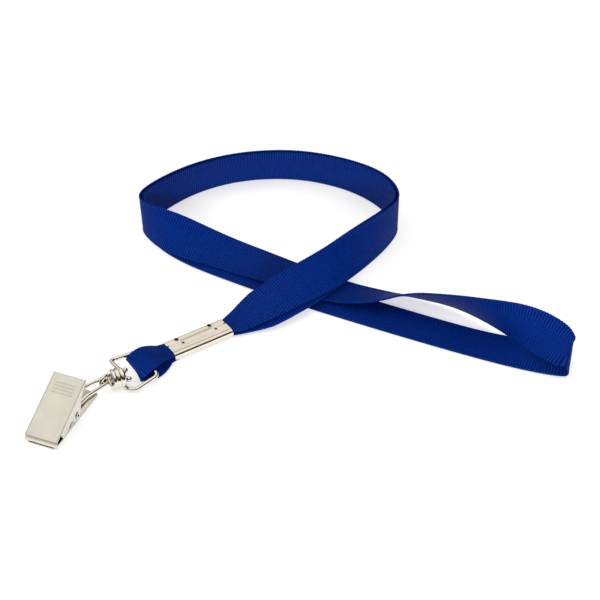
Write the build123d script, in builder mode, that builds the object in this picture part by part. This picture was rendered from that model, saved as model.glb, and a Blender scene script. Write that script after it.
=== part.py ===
"""Flat lanyard with a flattened crimp sleeve, a wire swivel ring, a split pin, a wire bail and a spring clip.

It lies on the floor, z up, millimetres. The origin is the middle of the crimp sleeve's underside.
"""

from build123d import *
from math import cos, radians, sin, tan
import os

UP = Vector(0, 0, 1)

# Webbing
STRAP_WIDTH = 16.0
STRAP_THICKNESS = 0.8
GATHERED_WIDTH = 7.9
GATHER_LENGTH = 16.0
GATHER_POWER = 0.7
ARC_SHARE = 0.45
STATION_STEP = 9.0
NECK_FOLD_HEADING = -13.0
FOLD_ROWS = 3

# Rows are x, y, z and the tilt of the band's width from level, in degrees.
UPPER_LEG = [
    (10.68, 7.1, 2.45, 0), (15.6, 10.5, 2.45, 3), (22.5, 16.3, 4.8, 8), (34.2, 22.4, 8.6, 22),
    (49.5, 33.5, 10.0, 40), (63.0, 49.0, 9.8, 61), (74.5, 64.0, 8.9, 82), (80.0, 76.0, 8.5, 92),
    (74.0, 92.0, 8.5, 95), (58.5, 104.5, 8.5, 84), (37.5, 112.0, 8.5, 79), (14.5, 111.0, 8.5, 77),
    (-5.5, 102.0, 8.5, 82), (-21.0, 87.5, 8.5, 90), (-28.0, 75.5, 8.5, 96), (-22.0, 66.5, 9.0, 80),
    (-10.0, 58.5, 8.5, 42), (6.0, 53.0, 4.9, 17), (23.0, 45.5, 3.1, 9), (39.5, 37.2, 2.2, 1),
    (54.5, 29.2, 1.9, -3), (67.5, 24.5, 3.6, -18), (81.5, 22.5, 5.8, -42), (96.5, 16.0, 8.0, -51),
    (113.2, 4.6, 10.0, -78), (123.8, -3.6, 10.8, -114), (131.5, -9.8, 10.0, -145),
    (135.7, -13.2, 8.8, -157), (138.3, -14.7, 8.0, -161), (138.5, -14.0, 5.8, -161.5),
]
LOWER_LEG = [
    (10.68, 7.1, 1.05, 0), (15.6, 10.5, 1.05, 1), (25.0, 14.8, 2.9, 6), (36.2, 22.2, 6.1, 17),
    (49.5, 34.7, 8.8, 40), (62.0, 50.5, 8.6, 60), (73.3, 65.0, 8.3, 80), (78.5, 76.0, 8.5, 92),
    (72.8, 91.0, 8.6, 94), (58.0, 103.3, 8.5, 83), (37.3, 110.6, 8.4, 78), (14.8, 109.5, 8.3, 77),
    (-4.6, 100.7, 8.4, 80), (-19.6, 86.5, 8.5, 89), (-26.3, 75.5, 8.6, 96), (-21.1, 67.8, 8.5, 80),
    (-10.6, 60.2, 6.3, 46), (3.8, 51.5, 2.6, 14), (20.5, 42.0, 1.1, 4), (40.0, 31.0, 0.6, 1),
    (63.0, 19.3, 0.5, 0), (84.0, 9.0, 0.5, 0), (104.0, -0.5, 0.6, 0), (119.0, -7.0, 1.3, 5),
    (129.5, -11.0, 2.3, 11), (135.0, -12.7, 3.1, 16), (138.7, -13.3, 3.6, 18), (138.5, -14.0, 5.8, 18.5),
]

# Crimp sleeve: its frame runs along the sleeve from the ring end to the neck end.
CRIMP_HEADING = 34.5
CRIMP_LENGTH = 25.6
CRIMP_WIDTH = 9.4
CRIMP_HEIGHT = 3.6
CRIMP_SHEET = 0.4
CRIMP_SHIFT = -0.2
CRIMP_CORNER = 1.3
SEAM_Y = 0.5
SEAM_WIDTH = 3.9
SEAM_RISE = 0.25
NOTCH = 0.8
BIG_HOLE_RADIUS = 0.75
SMALL_HOLE_RADIUS = 0.45
RIM_WIDTH = 0.3
RIM_RISE = 0.4
BIG_HOLES = [(-7.8, 2.7), (6.8, 2.9)]
SMALL_HOLES = [(-6.8, -0.6), (7.7, -0.5)]
RIB_LENGTH = 14.0
RIB_WIDTH = 0.7
RIB_RISE = 0.45
RIB_YS = [1.5, -1.9]

# Ring loop of the webbing, in the crimp's frame: x, y, z, tilt and width.
RING_FOLD_HEADING = 191.0
LOOP_UPPER = [
    (12.8, -0.2, 2.45, 0, 7.9), (-14.2, -0.25, 2.4, 0, 7.9), (-18.0, -1.3, 4.9, -8, 9.6),
    (-23.0, -3.2, 6.7, -18, 10.4), (-27.0, -4.2, 6.4, -24, 10.6), (-29.3, -4.6, 5.7, -27, 10.4),
    (-29.3, -3.9, 4.35, -27, 10.4),
]
LOOP_LOWER = [
    (12.8, -0.2, 1.05, 0, 7.9), (-14.2, -0.25, 1.05, 0, 7.9), (-18.5, -2.0, 1.1, -4, 10.8),
    (-24.0, -4.4, 1.9, -12, 11.8), (-27.0, -3.6, 2.75, -23, 10.6), (-29.3, -3.2, 3.0, -27, 10.4),
    (-29.3, -3.9, 4.35, -27, 10.4),
]

# Wire ring and its coil
RING_WIRE = 1.7
SWIVEL_HEADING = 210.0
SWIVEL_RISE = 6.0
COIL_CENTRE = Vector(-28.4, -25.2, 3.95)
COIL_MEAN_RADIUS = 3.05
COIL_PITCH = 1.65
COIL_TURNS = 3
RING_CORNERS = [(-31.5, -17.4, 6.0), (-21.1, -12.15, 6.0), (-13.7, -21.8, 2.6), (-22.6, -29.4, 0.9)]
RING_RADII = [1.6, 1.6, 1.6, 3.4]
COIL_EXIT = 1.65

# Split pin
PIN_LIFT = 0.45
PIN_RADIUS = 1.65
PIN_FRONT = 2.9
PIN_REAR = 2.9
EYE_REACH = 4.6
EYE_MEAN_RADIUS = 1.9
EYE_WIRE = 1.6
EYE_HEADING = 139.0
TAIL_REACH = 4.2
TAIL_SPREAD = 2.0
TAIL_RADIUS = 0.8
LOBE_RADIUS = 1.1
TAIL_ACROSS = Vector(-0.42, 0.84, 0.35)

# Clip: its frame runs from the jaw to the rear, with y across to the far side.
CLIP_ORIGIN = Vector(-46.3, -58.8, 0)
CLIP_HEADING = 67.5
CLIP_WIDTH = 12.7
SHEET = 0.5
COVER_PROFILE = [
    (-0.85, 0.65), (-0.75, 1.7), (-0.3, 2.75), (0.7, 3.5), (22.6, 13.85), (22.82, 13.4),
    (0.95, 3.05), (0.1, 2.4), (-0.27, 1.6), (-0.35, 0.65),
]
FLANGE_PROFILE = [
    (2.7, 4.1), (4.3, 1.1), (6.3, 1.5), (10.8, 3.95), (12.4, 2.4), (13.6, 1.45), (15.9, 1.45),
    (17.2, 2.8), (17.6, 5.0), (18.3, 8.0), (22.3, 12.3), (22.7, 13.6),
]
COVER_SLOPE = 25.3
RIB_STATIONS = [17.0, 18.3, 19.6, 20.9]
GRIP_RIB_LENGTH = 8.4
GRIP_RIB_WIDTH = 0.5
GRIP_RIB_RISE = 0.2
PIVOT = (14.8, 3.6)
PIVOT_RADIUS = 0.8
PIVOT_FIT = 0.05
PIVOT_HEAD_RADIUS = 1.15
PIVOT_HEAD = 0.25
PIVOT_BORE_RADIUS = 0.6
PIVOT_BORE_DEPTH = 1.2
HEAD_GAP = 0.1
LEVER_INSET = 0.7
LEVER_FRONT = -1.0
LEVER_REAR = 31.6
LEVER_CORNER = 1.2
LEVER_WALL = 0.4
LEVER_FLANGE = [
    (4.6, 0.25), (5.6, 1.0), (10.5, 1.4), (12.5, 2.9), (13.1, 4.8), (14.8, 5.5), (16.5, 4.8),
    (17.2, 3.4), (22.6, 3.0), (30.2, 1.0), (30.6, 0.25),
]

# Spring and bail
SPRING_WIRE = 0.6
SPRING_MEAN_RADIUS = 1.35
SPRING_PITCH = 0.58
SPRING_TURNS = 7
SPRING_LOWER_END = (21.0, 0.9)
SPRING_UPPER_END = (18.8, 8.7)
SPRING_LEG_RADIUS = 0.28
BAIL_WIRE = 1.5
BAIL_LOOP_RADIUS = 1.6
BAIL_FEET = [2.6, 10.4]
BAIL_APEX_HALF = 1.65
BAIL_APEX_RADIUS = 1.1
BAIL_BEND_RADIUS = 8.0
BAIL_START = (16.1, 4.05)
BAIL_MID_NEAR = (24.0, 0.9, 5.1)
BAIL_MID_FAR = (24.0, 6.4, 5.1)


def heading_vector(degrees, rise=0.0):
    flat = cos(radians(rise))
    return Vector(cos(radians(degrees)) * flat, sin(radians(degrees)) * flat, sin(radians(rise)))


CRIMP_X = heading_vector(CRIMP_HEADING)
CRIMP_Y = heading_vector(CRIMP_HEADING + 90)
CLIP_X = heading_vector(CLIP_HEADING)
CLIP_Y = heading_vector(CLIP_HEADING + 90)
SWIVEL = heading_vector(SWIVEL_HEADING, SWIVEL_RISE)
PIN_CENTRE = COIL_CENTRE + UP * PIN_LIFT
EYE_CENTRE = PIN_CENTRE + SWIVEL * EYE_REACH
EYE_AXIS = heading_vector(EYE_HEADING)


def in_crimp(x, y, z):
    return CRIMP_X * x + CRIMP_Y * y + UP * z


def in_clip(x, y, z):
    return CLIP_ORIGIN + CLIP_X * x + CLIP_Y * y + UP * z


def side_plane(y):
    """The clip's side view at this y. A negative extrusion goes to the far side."""
    return Plane(in_clip(0, y, 0), x_dir=CLIP_X, z_dir=CLIP_Y * -1)


def width_directions(points, tilts, fold_heading):
    """The band's width direction at each point of its route. The rows of the fold share one heading."""
    directions = []
    for index, tilt in enumerate(tilts):
        run = points[min(index + 1, len(points) - 1)] - points[max(index - 1, 0)]
        flat = Vector(run.X, run.Y, 0).normalized()
        if index >= len(points) - FOLD_ROWS:
            flat = heading_vector(fold_heading)
        side = Vector(-flat.Y, flat.X, 0)
        directions.append(side * cos(radians(tilt)) + UP * sin(radians(tilt)))
    return directions


def corner_radii(points):
    """Each corner's arc is as large as its two runs allow."""
    radii = []
    for before, corner, after in zip(points, points[1:], points[2:]):
        turn = (corner - before).get_angle(after - corner)
        shorter = min((corner - before).length, (after - corner).length)
        radii.append(ARC_SHARE * shorter / tan(radians(turn / 2)))
    return radii


def blend(before, here, after, share):
    """A quadratic blend about one point of the route, from mid-run to mid-run."""
    return before * ((1 - share) ** 2 / 2) + here * (0.5 + share * (1 - share)) + after * (share**2 / 2)


def stations(points, sides, radii):
    """Origin, tangent and width direction along the arcs, with the corner and the share of its bend."""
    rows = [(points[0], (points[1] - points[0]).normalized(), sides[0], 1, 0.0)]
    for index, radius in enumerate(radii, start=1):
        corner = points[index]
        into = (corner - points[index - 1]).normalized()
        out = (points[index + 1] - corner).normalized()
        turn = into.get_angle(out)
        outward = ((into - out).normalized() * cos(radians(turn / 2)) - (into + out).normalized()
                   * sin(radians(turn / 2)))
        centre = corner - into * (radius * tan(radians(turn / 2))) - outward * radius
        twist = (sides[index - 1] + sides[index]).get_angle(sides[index] + sides[index + 1])
        steps = 1 + int(max(turn, twist) / STATION_STEP)
        for step in range(steps + 1):
            angle = radians(turn * step / steps)
            share = 0.5 - ARC_SHARE + 2 * ARC_SHARE * step / steps
            place = centre + outward * (radius * cos(angle)) + into * (radius * sin(angle))
            tangent = into * cos(angle) - outward * sin(angle)
            side = blend(sides[index - 1], sides[index], sides[index + 1], share)
            rows.append((place, tangent, side, index, share))
    rows.append((points[-1], (points[-1] - points[-2]).normalized(), sides[-1], len(points) - 2, 1.0))
    return rows


def gathered_width(travelled):
    spread = (STRAP_WIDTH - GATHERED_WIDTH) * (travelled / GATHER_LENGTH) ** GATHER_POWER
    return min(GATHERED_WIDTH + spread, STRAP_WIDTH)


def band_sections(rows, widths):
    """Thin rectangles across the band, to be lofted."""
    sections = []
    for (origin, tangent, width_direction, _, _), width in zip(rows, widths):
        level = (width_direction - tangent * width_direction.dot(tangent)).normalized()
        with BuildSketch(Plane(origin, x_dir=level, z_dir=tangent)) as section:
            Rectangle(width, STRAP_THICKNESS)
        sections.append(section.sketch)
    return sections


def distances(rows):
    """Distance travelled to each station."""
    travelled = [0.0]
    for before, after in zip(rows, rows[1:]):
        travelled.append(travelled[-1] + (after[0] - before[0]).length)
    return travelled


def report_route(name, points, radii, volume):
    path = FilletPolyline(*points, radius=radii)
    tightest = min(radii)
    print(name, "length", round(path.length, 1), "tightest radius", round(tightest, 1),
          "radii", [round(radius, 1) for radius in radii])
    print(name, "volume", round(volume, 1), "section times length",
          round(STRAP_WIDTH * STRAP_THICKNESS * path.length, 1))


def leg_sections(route):
    points = [Vector(x, y, z) for x, y, z, _ in route]
    tilts = [tilt for _, _, _, tilt in route]
    radii = corner_radii(points)
    rows = stations(points, width_directions(points, tilts, NECK_FOLD_HEADING), radii)
    widths = [gathered_width(distance) for distance in distances(rows)]
    return points, radii, band_sections(rows, widths)


def loop_rows(route, fold_heading):
    """Stations and widths of one layer of the ring loop."""
    points = [in_crimp(x, y, z) for x, y, z, _, _ in route]
    tilts = [row[3] for row in route]
    spans = [row[4] for row in route]
    rows = stations(points, width_directions(points, tilts, fold_heading), corner_radii(points))
    widths = [blend(spans[row[3] - 1], spans[row[3]], spans[row[3] + 1], row[4]) for row in rows]
    widths[0] = spans[0]
    widths[-1] = spans[-1]
    return rows, widths


def turned_back(rows):
    """The same stations walked the other way."""
    return [(place, tangent * -1, side, index, share) for place, tangent, side, index, share in reversed(rows)]


def rod(start, end, radius):
    """A straight round rod between two points, in the builder that is open."""
    with BuildSketch(Plane(start, z_dir=(end - start).normalized())) as section:
        Circle(radius)
    extrude(section.sketch, amount=(end - start).length)


os.makedirs("parts", exist_ok=True)

upper_points, upper_radii, upper_sections = leg_sections(UPPER_LEG)
with BuildPart() as strap_upper_leg:
    loft(sections=upper_sections, ruled=True)
strap_upper_leg.part.label = "strap_upper_leg"
export_step(strap_upper_leg.part, "parts/strap_upper_leg.step")
report_route("strap_upper_leg", upper_points, upper_radii, strap_upper_leg.part.volume)

lower_points, lower_radii, lower_sections = leg_sections(LOWER_LEG)
with BuildPart() as strap_lower_leg:
    loft(sections=lower_sections, ruled=True)
strap_lower_leg.part.label = "strap_lower_leg"
export_step(strap_lower_leg.part, "parts/strap_lower_leg.step")
report_route("strap_lower_leg", lower_points, lower_radii, strap_lower_leg.part.volume)

# The ring loop goes out over the ring's bar, folds and comes back under it.
out_rows, out_widths = loop_rows(LOOP_UPPER, CRIMP_HEADING + RING_FOLD_HEADING)
back_rows, back_widths = loop_rows(LOOP_LOWER, CRIMP_HEADING + RING_FOLD_HEADING)
round_rows = out_rows + turned_back(back_rows)[1:]
round_widths = out_widths + list(reversed(back_widths))[1:]
with BuildPart() as strap_ring_loop:
    loft(sections=band_sections(round_rows, round_widths), ruled=True)
strap_ring_loop.part.label = "strap_ring_loop"
export_step(strap_ring_loop.part, "parts/strap_ring_loop.step")

# Crimp sleeve, made as a flattened tube whose near flap overlaps the far one along the top.
crimp_end = Plane(in_crimp(-CRIMP_LENGTH / 2, 0, 0), x_dir=CRIMP_Y, z_dir=CRIMP_X)
crimp_top = Plane(in_crimp(0, 0, CRIMP_HEIGHT), x_dir=CRIMP_X, z_dir=UP)
with BuildPart() as crimp_sleeve:
    with BuildSketch(crimp_end):
        with Locations((CRIMP_SHIFT, CRIMP_HEIGHT / 2)):
            RectangleRounded(CRIMP_WIDTH, CRIMP_HEIGHT, CRIMP_CORNER)
    extrude(amount=CRIMP_LENGTH)
    with BuildSketch(crimp_top):
        with Locations((0, SEAM_Y - SEAM_WIDTH / 2)):
            Rectangle(CRIMP_LENGTH, SEAM_WIDTH)
    extrude(amount=SEAM_RISE, taper=20)
    with BuildSketch(crimp_top.offset(-CRIMP_SHEET / 2)):
        with Locations(*[(0, y) for y in RIB_YS]):
            SlotOverall(RIB_LENGTH, RIB_WIDTH)
    extrude(amount=CRIMP_SHEET / 2 + RIB_RISE - SEAM_RISE / 2, taper=12)
    with BuildSketch(crimp_top.offset(-CRIMP_SHEET / 2)):
        with Locations(*BIG_HOLES):
            Circle(BIG_HOLE_RADIUS + RIM_WIDTH)
    extrude(amount=CRIMP_SHEET / 2 + RIM_RISE - SEAM_RISE, taper=12)
    with BuildSketch(crimp_top.offset(-CRIMP_SHEET / 2)):
        with Locations(*SMALL_HOLES):
            Circle(SMALL_HOLE_RADIUS + RIM_WIDTH)
    extrude(amount=CRIMP_SHEET / 2 + RIM_RISE, taper=12)
    with BuildSketch(crimp_end):
        with Locations((CRIMP_SHIFT, CRIMP_HEIGHT / 2)):
            RectangleRounded(CRIMP_WIDTH - 2 * CRIMP_SHEET, CRIMP_HEIGHT - 2 * CRIMP_SHEET,
                             CRIMP_CORNER - CRIMP_SHEET)
    extrude(amount=CRIMP_LENGTH, mode=Mode.SUBTRACT)
    with BuildSketch(crimp_top.offset(-CRIMP_SHEET * 2)):
        with Locations(*BIG_HOLES):
            Circle(BIG_HOLE_RADIUS)
        with Locations(*SMALL_HOLES):
            Circle(SMALL_HOLE_RADIUS)
    extrude(amount=CRIMP_SHEET * 4, mode=Mode.SUBTRACT)
    with BuildSketch(crimp_top.offset(-CRIMP_SHEET * 1.5)):
        with Locations((-CRIMP_LENGTH / 2, SEAM_Y + NOTCH / 2), (CRIMP_LENGTH / 2, SEAM_Y + NOTCH / 2)):
            Rectangle(NOTCH * 2, NOTCH)
    extrude(amount=CRIMP_SHEET * 3, mode=Mode.SUBTRACT)
crimp_sleeve.part.label = "crimp_sleeve"
export_step(crimp_sleeve.part, "parts/crimp_sleeve.step")

# Ring: one wire, coiled about the swivel axis at its two ends.
coil_top = COIL_CENTRE - SWIVEL * COIL_EXIT + UP * COIL_MEAN_RADIUS
coil_bottom = COIL_CENTRE - SWIVEL * COIL_EXIT - UP * COIL_MEAN_RADIUS
coil_side = Plane(COIL_CENTRE, x_dir=SWIVEL, z_dir=SWIVEL.cross(UP).normalized())
turn_offsets = [(turn - (COIL_TURNS - 1) / 2) * COIL_PITCH for turn in range(COIL_TURNS)]
with BuildPart() as swivel_ring:
    with BuildLine():
        FilletPolyline(coil_top, *[Vector(*corner) for corner in RING_CORNERS], coil_bottom, radius=RING_RADII)
    with BuildSketch(Plane(coil_top, z_dir=Vector(*RING_CORNERS[0]) - coil_top)):
        Circle(RING_WIRE / 2)
    sweep()
    with BuildSketch(coil_side):
        with Locations(*[(offset, COIL_MEAN_RADIUS) for offset in turn_offsets]):
            Circle(RING_WIRE / 2)
        with Locations((0, COIL_MEAN_RADIUS)):
            Rectangle(COIL_PITCH * (COIL_TURNS - 1), RING_WIRE * 2 / 3)
    revolve(axis=Axis(COIL_CENTRE, SWIVEL))
swivel_ring.part.label = "swivel_ring"
export_step(swivel_ring.part, "parts/swivel_ring.step")

# Split pin: a shank in the coil, an eye in front for the bail and two spread tails behind.
tail_across = TAIL_ACROSS.normalized()
tail_root = PIN_CENTRE - SWIVEL * (PIN_REAR - TAIL_RADIUS)
lobes = [PIN_CENTRE - SWIVEL * TAIL_REACH + tail_across * (TAIL_SPREAD * way) for way in (1, -1)]
with BuildPart() as swivel_pin:
    rod(PIN_CENTRE - SWIVEL * PIN_REAR, PIN_CENTRE + SWIVEL * PIN_FRONT, PIN_RADIUS)
    with Locations(Plane(EYE_CENTRE, z_dir=EYE_AXIS)):
        Torus(EYE_MEAN_RADIUS, EYE_WIRE / 2)
        Cylinder(EYE_MEAN_RADIUS - EYE_WIRE / 2, EYE_WIRE * 4, mode=Mode.SUBTRACT)
    for lobe in lobes:
        rod(tail_root, lobe, TAIL_RADIUS)
        with Locations(lobe):
            Sphere(LOBE_RADIUS)
swivel_pin.part.label = "swivel_pin"
export_step(swivel_pin.part, "parts/swivel_pin.step")

# Bail: a bent wire through the pin's eye, with a loop round the clip's pivot at each foot.
apex_near = EYE_CENTRE - EYE_AXIS * BAIL_APEX_HALF
apex_far = EYE_CENTRE + EYE_AXIS * BAIL_APEX_HALF
bail_route = [
    in_clip(BAIL_START[0], BAIL_FEET[0], BAIL_START[1]),
    in_clip(*BAIL_MID_NEAR),
    apex_near,
    apex_far,
    in_clip(*BAIL_MID_FAR),
    in_clip(BAIL_START[0], BAIL_FEET[1], BAIL_START[1]),
]
bail_radii = [BAIL_BEND_RADIUS, BAIL_APEX_RADIUS, BAIL_APEX_RADIUS, BAIL_BEND_RADIUS]
with BuildPart() as clip_bail:
    with BuildLine():
        FilletPolyline(*bail_route, radius=bail_radii)
    with BuildSketch(Plane(bail_route[0], z_dir=bail_route[1] - bail_route[0])):
        Circle(BAIL_WIRE / 2)
    sweep()
    for foot in BAIL_FEET:
        with Locations(Plane(in_clip(PIVOT[0], foot, PIVOT[1]), z_dir=CLIP_Y)):
            Torus(BAIL_LOOP_RADIUS, BAIL_WIRE / 2)
clip_bail.part.label = "clip_bail"
export_step(clip_bail.part, "parts/clip_bail.step")

# Clip cover: a sloping plate with a folded jaw lip, two side flanges and four grip ribs.
cover_top = Plane(in_clip(0.7, CLIP_WIDTH / 2, 3.5),
                  x_dir=CLIP_X * cos(radians(COVER_SLOPE)) + UP * sin(radians(COVER_SLOPE)),
                  z_dir=UP * cos(radians(COVER_SLOPE)) - CLIP_X * sin(radians(COVER_SLOPE)))
with BuildPart() as clip_cover:
    with BuildSketch(side_plane(0)):
        Polygon(*COVER_PROFILE, align=None)
    extrude(amount=-CLIP_WIDTH)
    with BuildSketch(side_plane(0), side_plane(CLIP_WIDTH - SHEET)):
        Polygon(*FLANGE_PROFILE, align=None)
    extrude(amount=-SHEET)
    with BuildSketch(side_plane(-SHEET)):
        with Locations(PIVOT):
            Circle(PIVOT_RADIUS + PIVOT_FIT)
    extrude(amount=-(CLIP_WIDTH + 2 * SHEET), mode=Mode.SUBTRACT)
    with BuildSketch(cover_top.offset(-SHEET / 2)):
        with Locations(*[(station, 0) for station in RIB_STATIONS]):
            SlotOverall(GRIP_RIB_LENGTH, GRIP_RIB_WIDTH, rotation=90)
    extrude(amount=SHEET / 2 + GRIP_RIB_RISE, taper=15)
clip_cover.part.label = "clip_cover"
export_step(clip_cover.part, "parts/clip_cover.step")

# Clip lever: the flat lower plate with low flanges and an ear for the pivot on each side.
lever_width = CLIP_WIDTH - 2 * LEVER_INSET
lever_length = LEVER_REAR - LEVER_FRONT
lever_plan = Plane(in_clip(LEVER_FRONT, LEVER_INSET, 0), x_dir=CLIP_X, z_dir=UP)
with BuildPart() as clip_lever:
    with BuildSketch(lever_plan):
        with Locations((lever_length / 2, lever_width / 2)):
            RectangleRounded(lever_length, lever_width, LEVER_CORNER)
    extrude(amount=SHEET)
    with BuildSketch(side_plane(LEVER_INSET), side_plane(CLIP_WIDTH - LEVER_INSET - LEVER_WALL)):
        Polygon(*LEVER_FLANGE, align=None)
    extrude(amount=-LEVER_WALL)
    with BuildSketch(side_plane(0)):
        with Locations(PIVOT):
            Circle(PIVOT_RADIUS)
    extrude(amount=-CLIP_WIDTH, mode=Mode.SUBTRACT)
clip_lever.part.label = "clip_lever"
export_step(clip_lever.part, "parts/clip_lever.step")

# Pivot pin, hollow at both ends, with a low rolled head outside each flange.
pin_end = HEAD_GAP + PIVOT_HEAD
with BuildPart() as clip_pivot_pin:
    with BuildSketch(side_plane(-pin_end)):
        with Locations(PIVOT):
            Circle(PIVOT_RADIUS)
    extrude(amount=-(CLIP_WIDTH + 2 * pin_end))
    with BuildSketch(side_plane(-pin_end), side_plane(CLIP_WIDTH + HEAD_GAP)):
        with Locations(PIVOT):
            Circle(PIVOT_HEAD_RADIUS)
    extrude(amount=-PIVOT_HEAD)
    with BuildSketch(side_plane(-pin_end), side_plane(CLIP_WIDTH + pin_end - PIVOT_BORE_DEPTH)):
        with Locations(PIVOT):
            Circle(PIVOT_BORE_RADIUS)
    extrude(amount=-PIVOT_BORE_DEPTH, mode=Mode.SUBTRACT)
clip_pivot_pin.part.label = "clip_pivot_pin"
export_step(clip_pivot_pin.part, "parts/clip_pivot_pin.step")

# Torsion spring round the pivot, with one leg on the lever and one under the cover.
spring_centre = in_clip(PIVOT[0], CLIP_WIDTH / 2, PIVOT[1])
spring_half = SPRING_PITCH * (SPRING_TURNS - 1) / 2
spring_offsets = [turn * SPRING_PITCH - spring_half for turn in range(SPRING_TURNS)]
spring_side = Plane(spring_centre, x_dir=CLIP_Y, z_dir=CLIP_X)
with BuildPart() as clip_spring:
    with BuildSketch(spring_side):
        with Locations(*[(offset, SPRING_MEAN_RADIUS) for offset in spring_offsets]):
            Circle(SPRING_WIRE / 2)
        with Locations((0, SPRING_MEAN_RADIUS)):
            Rectangle(spring_half * 2, SPRING_WIRE / 2)
    revolve(axis=Axis(spring_centre, CLIP_Y))
    rod(in_clip(PIVOT[0], CLIP_WIDTH / 2 - spring_half, PIVOT[1] - SPRING_MEAN_RADIUS),
        in_clip(SPRING_LOWER_END[0], CLIP_WIDTH / 2 - spring_half, SPRING_LOWER_END[1]), SPRING_LEG_RADIUS)
    rod(in_clip(PIVOT[0], CLIP_WIDTH / 2 + spring_half, PIVOT[1] + SPRING_MEAN_RADIUS),
        in_clip(SPRING_UPPER_END[0], CLIP_WIDTH / 2 + spring_half, SPRING_UPPER_END[1]), SPRING_LEG_RADIUS)
clip_spring.part.label = "clip_spring"
export_step(clip_spring.part, "parts/clip_spring.step")
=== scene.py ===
"""A flat lanyard with a crimp sleeve, a wire swivel and a spring clip, lying on a pale floor.

Lengths are in metres, in the frame of the CAD, except where a comment says millimetres.
"""

import bpy
from math import cos, pi, radians, sin
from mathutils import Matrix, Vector


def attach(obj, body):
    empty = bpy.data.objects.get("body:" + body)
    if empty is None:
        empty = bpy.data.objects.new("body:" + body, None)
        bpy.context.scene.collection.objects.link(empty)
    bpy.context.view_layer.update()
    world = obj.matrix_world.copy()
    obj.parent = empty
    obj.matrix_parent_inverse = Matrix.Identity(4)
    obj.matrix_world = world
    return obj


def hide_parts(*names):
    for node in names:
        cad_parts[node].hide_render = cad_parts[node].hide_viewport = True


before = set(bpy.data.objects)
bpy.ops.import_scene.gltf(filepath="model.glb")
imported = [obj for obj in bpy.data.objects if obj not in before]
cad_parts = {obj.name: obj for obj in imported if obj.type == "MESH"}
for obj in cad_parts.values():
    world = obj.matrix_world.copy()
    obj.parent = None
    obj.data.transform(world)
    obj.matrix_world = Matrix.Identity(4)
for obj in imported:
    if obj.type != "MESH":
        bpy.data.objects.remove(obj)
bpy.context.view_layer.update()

MM = 0.001
UP = Vector((0, 0, 1))

# ---------------------------------------------------------------- camera
# The tilt is from straight down, in degrees. The lens and the sensor are in millimetres.
CAMERA_AT = Vector((38.5, -499.8, 404.2)) * MM
CAMERA_TILT = 52.5
LENS = 102.0
SENSOR = 36.0

camera_data = bpy.data.cameras.new("camera")
camera_data.lens = LENS
camera_data.sensor_width = SENSOR
camera_data.clip_start = 0.01
camera = bpy.data.objects.new("camera", camera_data)
bpy.context.scene.collection.objects.link(camera)
camera.location = CAMERA_AT
camera.rotation_euler = (radians(CAMERA_TILT), 0, 0)
bpy.context.scene.camera = camera

# ---------------------------------------------------------------- the strap's route
# Rows are x, y, z in millimetres and the tilt of the strap's width from level, in degrees.
# Both legs start in the crimp sleeve and end in the fold at the neck.
UPPER_LEG = [
    (10.68, 7.1, 2.45, 0), (15.6, 10.5, 2.45, 3), (22.5, 16.3, 4.8, 8), (34.2, 22.4, 8.6, 22),
    (49.5, 33.5, 10.0, 40), (63.0, 49.0, 9.8, 61), (74.5, 64.0, 8.9, 82), (80.0, 76.0, 8.5, 92),
    (74.0, 92.0, 8.5, 95), (58.5, 104.5, 8.5, 84), (37.5, 112.0, 8.5, 79), (14.5, 111.0, 8.5, 77),
    (-5.5, 102.0, 8.5, 82), (-21.0, 87.5, 8.5, 90), (-28.0, 75.5, 8.5, 96), (-22.0, 66.5, 9.0, 80),
    (-10.0, 58.5, 8.5, 42), (6.0, 53.0, 4.9, 17), (23.0, 45.5, 3.1, 9), (39.5, 37.2, 2.2, 1),
    (54.5, 29.2, 1.9, -3), (67.5, 24.5, 3.6, -18), (81.5, 22.5, 5.8, -42), (96.5, 16.0, 8.0, -51),
    (113.2, 4.6, 10.0, -78), (123.8, -3.6, 10.8, -114), (131.5, -9.8, 10.0, -145),
    (135.7, -13.2, 8.8, -157), (138.3, -14.7, 8.0, -161), (138.5, -14.0, 5.8, -161.5),
]
LOWER_LEG = [
    (10.68, 7.1, 1.05, 0), (15.6, 10.5, 1.05, 1), (25.0, 14.8, 2.9, 6), (36.2, 22.2, 6.1, 17),
    (49.5, 34.7, 8.8, 40), (62.0, 50.5, 8.6, 60), (73.3, 65.0, 8.3, 80), (78.5, 76.0, 8.5, 92),
    (72.8, 91.0, 8.6, 94), (58.0, 103.3, 8.5, 83), (37.3, 110.6, 8.4, 78), (14.8, 109.5, 8.3, 77),
    (-4.6, 100.7, 8.4, 80), (-19.6, 86.5, 8.5, 89), (-26.3, 75.5, 8.6, 96), (-21.1, 67.8, 8.5, 80),
    (-10.6, 60.2, 6.3, 46), (3.8, 51.5, 2.6, 14), (20.5, 42.0, 1.1, 4), (40.0, 31.0, 0.6, 1),
    (63.0, 19.3, 0.5, 0), (84.0, 9.0, 0.5, 0), (104.0, -0.5, 0.6, 0), (119.0, -7.0, 1.3, 5),
    (129.5, -11.0, 2.3, 11), (135.0, -12.7, 3.1, 16), (138.7, -13.3, 3.6, 18),
    (138.5, -14.0, 5.8, 18.5),
]
NECK_FOLD_HEADING = -13.0
FOLD_ROWS = 3

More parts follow.
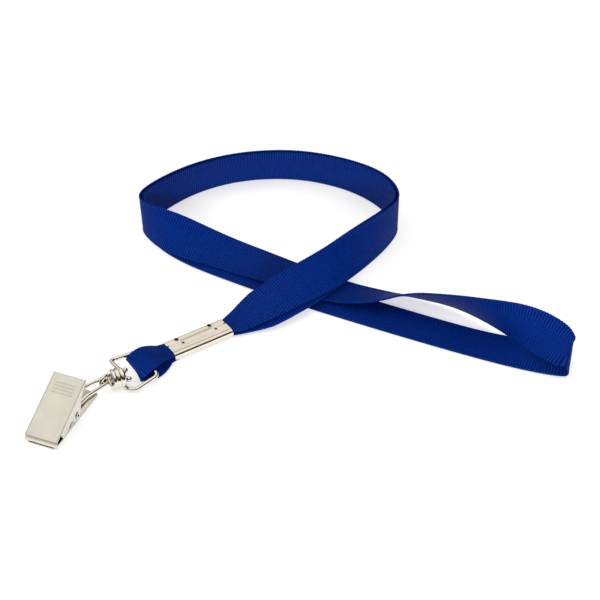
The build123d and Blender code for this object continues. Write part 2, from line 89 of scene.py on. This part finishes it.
# The ring loop in the crimp's frame: x, y, z, tilt and width, in millimetres and degrees.
# It goes out over the bar and comes back under it.
CRIMP_HEADING = 34.5
RING_FOLD_HEADING = 191.0
LOOP_OUT = [
    (12.8, -0.2, 2.45, 0, 7.9), (-14.2, -0.25, 2.4, 0, 7.9), (-18.0, -1.3, 4.9, -8, 9.6),
    (-23.0, -3.2, 6.7, -18, 10.4), (-27.0, -4.2, 6.4, -24, 10.6), (-29.3, -4.6, 5.7, -27, 10.4),
    (-29.3, -3.9, 4.35, -27, 10.4),
]
LOOP_BACK = [
    (-29.3, -3.2, 3.0, -27, 10.4), (-27.0, -3.6, 2.75, -23, 10.6), (-24.0, -4.4, 1.9, -12, 11.8),
    (-18.5, -2.0, 1.1, -4, 10.8), (-14.2, -0.25, 1.05, 0, 7.9), (12.8, -0.2, 1.05, 0, 7.9),
]

# The webbing, in millimetres.
STRAP_WIDTH = 16.0
GATHERED_WIDTH = 7.9
GATHER_LENGTH = 16.0
GATHER_POWER = 0.7
STATION = 0.2125
RIB_PITCH = 0.85
RIB_HEIGHT = 0.026
RIB_SLANT = 0.8
SCALLOP_HEIGHT = 0.07
SCALLOP_PITCH = 1.05
CROWN_LENGTH = 30
UPPER_CROWN = 0.5
LOWER_CROWN = 0.12
FOLD_ROUND = 10.0
FOLD_TRIM = 3.4
EDGE_LINE_AT = 4
CURVE_RESOLUTION = 40

# Shares of the half width: the ribs reach the first, and the scalloped edge starts at the second.
RIBBED = 0.88
SCALLOPED = 0.95

# The webbing's UVs are in centimetres, with the strap's middle at 0.5 across.
UV_SCALE = 100
UV_HALF_WIDTH = 0.8
UV_MIDDLE = 0.5
RIB_PITCH_UV = 0.085
RIB_SLOPE_UV = 0.10
THREAD_PITCH_UV = 0.08
DOT_PITCH_UV = 0.105
DOTTED_UV = (0.33, 0.355)


def heading(degrees):
    return Vector((cos(radians(degrees)), sin(radians(degrees)), 0))


def across(flat, tilt):
    """The strap's width direction, for a level heading and a tilt."""
    side = Vector((-flat.y, flat.x, 0))
    return side * cos(radians(tilt)) + UP * sin(radians(tilt))


def level_run(points, index):
    """The level direction from the point before this one to the point after it."""
    run = points[min(index + 1, len(points) - 1)] - points[max(index - 1, 0)]
    return Vector((run.x, run.y, 0)).normalized()


def leg_sides(route):
    points = [Vector(row[:3]) for row in route]
    sides = []
    for index, row in enumerate(route):
        flat = level_run(points, index)
        if index >= len(points) - FOLD_ROWS:
            flat = heading(NECK_FOLD_HEADING)
        sides.append(across(flat, row[3]))
    return points, sides


def spline_line(name, points):
    """The smooth line of a NURBS spline with these control points, in metres."""
    curve = bpy.data.curves.new(name, "CURVE")
    curve.dimensions = "3D"
    spline = curve.splines.new("NURBS")
    spline.points.add(len(points) - 1)
    for control, point in zip(spline.points, points):
        control.co = (*(point * MM), 1)
    spline.order_u = 3
    spline.use_endpoint_u = True
    spline.resolution_u = CURVE_RESOLUTION
    holder = bpy.data.objects.new(name, curve)
    bpy.context.scene.collection.objects.link(holder)
    bpy.context.view_layer.update()
    evaluated = holder.evaluated_get(bpy.context.evaluated_depsgraph_get())
    mesh = bpy.data.meshes.new_from_object(evaluated)
    line = [vertex.co.copy() for vertex in mesh.vertices]
    bpy.data.objects.remove(holder)
    bpy.data.curves.remove(curve)
    bpy.data.meshes.remove(mesh)
    return line


def travelled(line):
    """The distance along the line at each of its points."""
    distances = [0.0]
    for before, after in zip(line, line[1:]):
        distances.append(distances[-1] + (after - before).length)
    return distances


def evenly(distances, values, step):
    """The values at even distances along the line."""
    count = max(2, round(distances[-1] / step))
    picked = []
    index = 0
    for station in range(count + 1):
        at = distances[-1] * station / count
        while index < len(distances) - 2 and distances[index + 1] < at:
            index += 1
        span = distances[index + 1] - distances[index]
        share = 0 if span == 0 else (at - distances[index]) / span
        picked.append(values[index].lerp(values[index + 1], share))
    return picked


# Across the strap: place in half widths, and half thickness in millimetres.
# The selvedge is a thicker bead.
PROFILE = [
    (-1.0, 0.0), (-0.992, 0.2), (-0.965, 0.36), (-0.93, 0.4), (-0.895, 0.33), (-0.86, 0.28),
    (-0.6, 0.31), (-0.3, 0.33), (0.0, 0.33), (0.3, 0.33), (0.6, 0.31), (0.86, 0.28),
    (0.895, 0.33), (0.93, 0.4), (0.965, 0.36), (0.992, 0.2), (1.0, 0.0),
]


def tube_faces(last, count):
    """Quads round a tube of last + 1 rings of count points, and a cap on each end."""
    faces = []
    for station in range(last):
        for k in range(count):
            a, b = station * count + k, station * count + (k + 1) % count
            faces.append((a, b, b + count, a + count))
    faces.append(tuple(reversed(range(count))))
    faces.append(tuple(range(last * count, last * count + count)))
    return faces


def ribbon(name, points, sides, width_at, crown_at, trimmed=0):
    """A strap along a spline. Its width direction follows a second spline beside the first one.

    trimmed is the side, -1 or 1, whose far corner is rounded off, or 0 for neither.
    """
    line = spline_line(name, points)
    edge = spline_line(name, [point + side * EDGE_LINE_AT for point, side in zip(points, sides)])
    distances = travelled(line)
    centres = evenly(distances, line, STATION * MM)
    edges = evenly(distances, edge, STATION * MM)
    outline = PROFILE + [(place, -half) for place, half in reversed(PROFILE[1:-1])]
    total = distances[-1]
    last = len(centres) - 1
    vertices = []
    for station, (centre, beside) in enumerate(zip(centres, edges)):
        after, before = centres[min(station + 1, last)], centres[max(station - 1, 0)]
        tangent = (after - before).normalized()
        side = beside - centre
        side = (side - tangent * side.dot(tangent)).normalized()
        normal = tangent.cross(side)
        at = total * station / last
        half_width = width_at(at / MM, total / MM) / 2 * MM
        crown = crown_at(at / MM, total / MM) * MM
        scallop = SCALLOP_HEIGHT * MM * sin(2 * pi * at / (SCALLOP_PITCH * MM))
        near_fold = max(0, 1 - (total - at) / (FOLD_ROUND * MM)) ** 2
        for place, half in outline:
            reach = half_width + (scallop if abs(place) > SCALLOPED else 0)
            if place * trimmed > 0:
                reach -= FOLD_TRIM * MM * near_fold
            if abs(place) < RIBBED:
                rib = sin(2 * pi * (at / MM + RIB_SLANT * place) / RIB_PITCH)
                half += RIB_HEIGHT * rib * (1 if half > 0 else -1)
            lift = crown * (1 - place * place)
            vertices.append(centre + side * (place * reach) + normal * (half * MM + lift))
    count = len(outline)
    mesh = bpy.data.meshes.new(name)
    mesh.from_pydata([tuple(vertex) for vertex in vertices], [], tube_faces(last, count))
    layer = mesh.uv_layers.new(name="UVMap")
    for polygon in mesh.polygons:
        polygon.use_smooth = True
        for loop_index in polygon.loop_indices:
            station, k = divmod(mesh.loops[loop_index].vertex_index, count)
            along = total * station / last
            layer.data[loop_index].uv = (
                along * UV_SCALE, outline[k][0] * UV_HALF_WIDTH + UV_MIDDLE)
    mesh.update()
    piece = bpy.data.objects.new(name, mesh)
    bpy.context.scene.collection.objects.link(piece)
    return piece, line, total


def leg_width(at, total):
    gathered = (at / GATHER_LENGTH) ** GATHER_POWER
    return min(GATHERED_WIDTH + (STRAP_WIDTH - GATHERED_WIDTH) * gathered, STRAP_WIDTH)


def upper_crown(at, total):
    return UPPER_CROWN * sin(pi * min(at / CROWN_LENGTH, 1))


def lower_crown(at, total):
    return LOWER_CROWN * sin(pi * min(at / CROWN_LENGTH, 1))


def no_crown(at, total):
    return 0.0


upper, upper_line, upper_length = ribbon(
    "strap_upper_ribbon", *leg_sides(UPPER_LEG), leg_width, upper_crown, trimmed=-1)
lower, lower_line, lower_length = ribbon(
    "strap_lower_ribbon", *leg_sides(LOWER_LEG), leg_width, lower_crown, trimmed=1)


def in_crimp(x, y, z):
    return heading(CRIMP_HEADING) * x + heading(CRIMP_HEADING + 90) * y + UP * z


def loop_sides(rows, fold_first):
    """The loop's points and width directions. Its fold is at the first rows or at the last."""
    points = [in_crimp(*row[:3]) for row in rows]
    sides = []
    for index, row in enumerate(rows):
        flat = level_run(points, index)
        at_fold = index < FOLD_ROWS if fold_first else index >= len(rows) - FOLD_ROWS
        if fold_first:
            flat = flat * -1
        if at_fold:
            flat = heading(CRIMP_HEADING + RING_FOLD_HEADING)
        sides.append(across(flat, row[3]))
    return points, sides


out_points, out_sides = loop_sides(LOOP_OUT, False)
back_points, back_sides = loop_sides([LOOP_OUT[-1]] + LOOP_BACK, True)
loop_points = out_points + back_points[1:]
width_line = spline_line(
    "strap_loop_widths", [Vector((row[4], 0, 0)) for row in LOOP_OUT + LOOP_BACK])
loop_distances = travelled(spline_line("strap_loop_spacing", loop_points))
loop_shares = [distance / loop_distances[-1] for distance in loop_distances]


def loop_width(at, total):
    """The width spline has the ribbon's own spacing, so it is read at the same share."""
    nearest = min(range(len(loop_shares)), key=lambda k: abs(loop_shares[k] - at / total))
    return width_line[nearest].x / MM


loop = ribbon(
    "strap_ring_loop_ribbon", loop_points, out_sides + back_sides[1:], loop_width, no_crown)[0]


# ---------------------------------------------------------------- materials
def colour(red, green, blue):
    """A screen colour from 0 to 255, as linear light."""
    linear = []
    for value in (red, green, blue):
        share = value / 255
        linear.append(share / 12.92 if share <= 0.04045 else ((share + 0.055) / 1.055) ** 2.4)
    return (*linear, 1)


class Nodes:
    """A node tree, with short ways to add and join nodes."""

    def __init__(self, tree):
        self.tree = tree

    def add(self, kind, **settings):
        node = self.tree.nodes.new(kind)
        for key, value in settings.items():
            setattr(node, key, value)
        return node

    def link(self, source, target):
        self.tree.links.new(source, target)

    def feed(self, socket, value):
        """Set a socket's value, or link another node's output to it."""
        if isinstance(value, (int, float, tuple)):
            socket.default_value = value
        else:
            self.link(value, socket)

    def split(self, vector):
        node = self.add("ShaderNodeSeparateXYZ")
        self.link(vector, node.inputs[0])
        return node.outputs

    def math(self, operation, *values):
        node = self.add("ShaderNodeMath", operation=operation)
        for socket, value in zip(node.inputs, values):
            self.feed(socket, value)
        return node.outputs[0]

    def wave(self, angle):
        """A sine wave between 0 and 1."""
        return self.math("MULTIPLY_ADD", self.math("SINE", angle), 0.5, 0.5)

    def mix(self, factor, first, second):
        node = self.add("ShaderNodeMix", data_type="RGBA")
        for socket, value in zip((0, 6, 7), (factor, first, second)):
            self.feed(node.inputs[socket], value)
        return node.outputs[2]

    def noise(self, vector, scale, detail, roughness=0.5):
        node = self.add("ShaderNodeTexNoise")
        node.inputs["Scale"].default_value = scale
        node.inputs["Detail"].default_value = detail
        node.inputs["Roughness"].default_value = roughness
        self.link(vector, node.inputs["Vector"])
        return node.outputs["Fac"]

    def remap(self, value, low, high, start=0.0, end=1.0):
        """The value's place between low and high, held to the range from start to end."""
        node = self.add("ShaderNodeMapRange")
        node.inputs["From Min"].default_value = low
        node.inputs["From Max"].default_value = high
        node.inputs["To Min"].default_value = start
        node.inputs["To Max"].default_value = end
        self.link(value, node.inputs["Value"])
        return node.outputs["Result"]

    def bump(self, height, strength, distance, target):
        node = self.add("ShaderNodeBump")
        node.inputs["Strength"].default_value = strength
        node.inputs["Distance"].default_value = distance
        self.link(height, node.inputs["Height"])
        self.link(node.outputs[0], target)
        return node


def new_material(name):
    """A material, its nodes and its shader's inputs."""
    material = bpy.data.materials.new(name)
    material.use_nodes = True
    tree = material.node_tree
    return material, Nodes(tree), tree.nodes["Principled BSDF"].inputs


def webbing_material():
    """Grosgrain: slanted cross ribs over warp threads, and dots from DOTTED_UV outwards."""
    material, n, shader = new_material("webbing_blue")
    along, over = n.split(n.add("ShaderNodeUVMap", uv_map="UVMap").outputs[0])[:2]
    place = n.add("ShaderNodeTexCoord").outputs["Object"]

    wander = n.math("MULTIPLY", n.noise(place, 60, 2), 0.008)
    slanted = n.math("ADD", n.math("ADD", along, n.math("MULTIPLY", over, RIB_SLOPE_UV)), wander)
    rib = n.wave(n.math("MULTIPLY", slanted, 2 * pi / RIB_PITCH_UV))
    stagger = n.math("MULTIPLY", n.math("FLOOR", n.math("DIVIDE", slanted, RIB_PITCH_UV)), pi)
    threads = n.math("MULTIPLY", over, 2 * pi / THREAD_PITCH_UV)
    thread = n.wave(n.math("ADD", threads, stagger))
    dots = n.wave(n.math("MULTIPLY", along, 2 * pi / DOT_PITCH_UV))
    from_middle = n.math("ABSOLUTE", n.math("SUBTRACT", over, UV_MIDDLE))
    dotted = n.remap(from_middle, *DOTTED_UV)
    weave = n.math("ADD", n.math("MULTIPLY", rib, 0.5), n.math("MULTIPLY", thread, 0.5))
    joined = n.add("ShaderNodeMix", data_type="FLOAT")
    for socket, value in zip((0, 2, 3), (dotted, weave, dots)):
        n.link(value, joined.inputs[socket])
    height = joined.outputs[0]

    patch = n.noise(place, 18, 3, 0.6)
    fibre = n.noise(place, 900, 2, 0.6)
    patches = n.math("MULTIPLY", n.remap(patch, 0.35, 0.75), 0.45)
    fibres = n.math("MULTIPLY", n.remap(fibre, 0.45, 0.8), 0.3)
    base = n.mix(n.remap(height, 0.1, 0.9), colour(0, 13, 70), colour(2, 46, 132))
    base = n.mix(patches, base, colour(0, 26, 98))
    n.link(n.mix(fibres, base, colour(8, 58, 146)), shader["Base Color"])
    n.link(n.math("ADD", n.math("MULTIPLY", patch, 0.12), 0.52), shader["Roughness"])
    shader["Sheen Weight"].default_value = 0.012
    shader["Sheen Roughness"].default_value = 0.45
    shader["Sheen Tint"].default_value = colour(70, 120, 220)
    shader["Specular IOR Level"].default_value = 0.05
    fuzz = n.math("ADD", height, n.math("MULTIPLY", fibre, 0.35))
    n.bump(fuzz, 0.7, 0.00022, shader["Normal"])
    return material


def metal_material(name, tint, hollow_shade, reach, rough, grain, scratch, bevel=0.00012, cavity=False):
    """Plated steel with roughness that wanders, fine grain and light wear.

    The tint turns to the second colour, painted shade, in hollows closed within the reach. With
    cavity, faces that look up from inside a hollow get it too. The bevel is a rounding of the
    edges.
    """
    material, n, shader = new_material(name)
    place = n.add("ShaderNodeTexCoord").outputs["Object"]
    stretched = n.add("ShaderNodeMapping")
    stretched.inputs["Scale"].default_value = (1, 1, 14)
    n.link(place, stretched.inputs["Vector"])
    cloud = n.noise(place, 90, 3, 0.6)
    fine = n.noise(place, 2600, 2, 0.7)
    lines = n.noise(stretched.outputs[0], 420, 2, 0.8)

    darker = tuple(channel * 0.82 for channel in tint[:3]) + (1,)
    base = n.mix(n.math("MULTIPLY", n.remap(cloud, 0.4, 0.75), 0.5), tint, darker)
    # Painted shade: the ambient occlusion below darkens the tint towards the second colour in
    # closed hollows.
    hollow = n.add("ShaderNodeAmbientOcclusion", samples=6)
    hollow.inputs["Distance"].default_value = reach
    shown = n.remap(hollow.outputs["AO"], 0.1, 0.5)
    # The painted shade also reaches faces that look up from deep inside a hollow.
    if cavity:
        upwards = n.split(n.add("ShaderNodeNewGeometry").outputs["Normal"])[2]
        closed = n.remap(hollow.outputs["AO"], 0.85, 0.45)
        inside = n.math("MULTIPLY", n.remap(upwards, 0.4, 0.8), closed)
        shown = n.math("MULTIPLY", shown, n.math("SUBTRACT", 1, inside))
    n.link(n.mix(shown, hollow_shade, base), shader["Base Color"])
    shader["Metallic"].default_value = 1.0

    wear = n.math("ADD", n.math("MULTIPLY", cloud, 0.6), n.math("MULTIPLY", lines, 0.4))
    n.link(n.remap(wear, 0.3, 0.75, *rough), shader["Roughness"])
    relief = n.math("ADD", n.math("MULTIPLY", fine, grain), n.math("MULTIPLY", lines, scratch))
    bump = n.bump(relief, 0.5, 0.00003, shader["Normal"])
    rounded = n.add("ShaderNodeBevel", samples=8)
    rounded.inputs["Radius"].default_value = bevel
    n.link(rounded.outputs[0], bump.inputs["Normal"])
    return material


# The brown of the painted shade in the metals' hollows.
SHADE_BROWN = colour(62, 44, 26)
webbing = webbing_material()
# Each metal's second colour is the painted shade in its hollows.
polished = metal_material(
    "nickel_polished", colour(238, 232, 221), SHADE_BROWN, reach=0.0016, rough=(0.07, 0.15),
    grain=0.0, scratch=0.05)
sleeve = metal_material(
    "nickel_sleeve", colour(236, 229, 215), SHADE_BROWN, reach=0.0002, rough=(0.15, 0.24),
    grain=0.0, scratch=0.05, bevel=0.0002)
plate = metal_material(
    "nickel_satin_warm", colour(224, 220, 208), colour(58, 44, 28), reach=0.009,
    rough=(0.26, 0.36), grain=0.15, scratch=0.2, bevel=0.0007)
inner = metal_material(
    "nickel_satin_inner", colour(214, 206, 190), colour(40, 28, 16), reach=0.012,
    rough=(0.2, 0.34), grain=0.5, scratch=0.35, cavity=True)
spring_steel = metal_material(
    "spring_steel", colour(150, 138, 120), SHADE_BROWN, reach=0.004, rough=(0.22, 0.36),
    grain=0.1, scratch=0.3)

for piece in (upper, lower, loop):
    piece.data.materials.append(webbing)
for node, material in (("crimp_sleeve", sleeve), ("swivel_ring", polished),
                       ("swivel_pin", polished), ("clip_bail", polished), ("clip_cover", plate),
                       ("clip_lever", inner), ("clip_pivot_pin", polished),
                       ("clip_spring", spring_steel)):
    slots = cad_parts[node].data.materials
    if not slots:
        slots.append(material)
    for index in range(len(slots)):
        slots[index] = material

# ---------------------------------------------------------------- bodies
for piece, node in ((upper, "strap_upper_leg"), (lower, "strap_lower_leg"),
                    (loop, "strap_ring_loop")):
    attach(piece, "strap")
    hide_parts(node)

# ---------------------------------------------------------------- floor and light
FLOOR_HALF = 30.0
FLOOR_DROP = 0.00005
FLOOR_GREY = 0.55
FLOOR_GLOW = 0.55


def floor():
    """A pale floor, just under z = 0, that glows a little so that it shows white."""
    mesh = bpy.data.meshes.new("floor")
    half = FLOOR_HALF
    corners = [(-half, -half, 0), (half, -half, 0), (half, half, 0), (-half, half, 0)]
    mesh.from_pydata(corners, [], [(0, 1, 2, 3)])
    piece = bpy.data.objects.new("floor", mesh)
    bpy.context.scene.collection.objects.link(piece)
    piece.location.z = -FLOOR_DROP
    material, _, shader = new_material("floor_white")
    shader["Base Color"].default_value = (FLOOR_GREY, FLOOR_GREY, FLOOR_GREY, 1)
    shader["Emission Color"].default_value = (1, 1, 1, 1)
    shader["Emission Strength"].default_value = FLOOR_GLOW
    shader["Roughness"].default_value = 0.9
    shader["Specular IOR Level"].default_value = 0.05
    mesh.materials.append(material)


def area_light(name, at, towards, size, power):
    """A soft panel that the metals don't mirror."""
    data = bpy.data.lights.new(name, "AREA")
    data.shape = "RECTANGLE"
    data.size, data.size_y = size
    data.energy = power
    light = bpy.data.objects.new(name, data)
    light.location = at
    light.visible_glossy = False
    direction = Vector(towards) - Vector(at)
    light.rotation_euler = direction.to_track_quat("-Z", "Y").to_euler()
    bpy.context.scene.collection.objects.link(light)


# The surroundings' colour by height, from the horizon at 0 to straight up at 1.
SKY = [
    (0.0, (0.1, 0.07, 0.045, 1)), (0.14, (0.05, 0.033, 0.018, 1)), (0.27, (0.12, 0.08, 0.045, 1)),
    (0.36, (0.6, 0.54, 0.46, 1)), (0.5, (0.8, 0.76, 0.7, 1)), (0.66, (1.0, 0.97, 0.92, 1)),
    (1.0, (1.02, 1.0, 0.97, 1)),
]
GAP_COLOUR = (0.05, 0.03, 0.015, 1)
PANEL_COLOUR = (0.06, 0.036, 0.018, 1)


def studio():
    """White surroundings overhead with a warm dark band low down, a dark gap towards the camera
    and a dark panel on the right, which the polished wire mirrors."""
    world = bpy.data.worlds.new("studio")
    bpy.context.scene.world = world
    world.use_nodes = True
    n = Nodes(world.node_tree)
    x, y, z = n.split(n.add("ShaderNodeTexCoord").outputs["Generated"])
    ramp = n.add("ShaderNodeValToRGB")
    n.link(z, ramp.inputs[0])
    elements = ramp.color_ramp.elements
    elements[0].position, elements[0].color = SKY[0]
    elements[1].position, elements[1].color = SKY[-1]
    for position, tone in SKY[1:-1]:
        elements.new(position).color = tone
    tone = n.mix(n.remap(y, -0.5, -0.86), ramp.outputs[0], GAP_COLOUR)
    panel = n.math("MULTIPLY", n.remap(x, 0.4, 0.52), n.remap(z, 0.82, 0.74))
    tone = n.mix(panel, tone, PANEL_COLOUR)
    background = world.node_tree.nodes["Background"].inputs
    n.link(tone, background[0])
    background[1].default_value = 1.0
    area_light("left", (-1.0, -0.1, 0.8), (0.02, 0.03, 0), (0.5, 0.9), 4.5)
    area_light("right", (0.66, 0.34, 1.05), (0.03, 0.03, 0), (0.4, 0.7), 2)
    area_light("front", (0.2, -1.15, 0.38), (0.03, 0.06, 0), (0.6, 0.3), 13)


floor()
studio()
scene = bpy.context.scene
scene.view_settings.view_transform = "Standard"
scene.view_settings.look = "None"
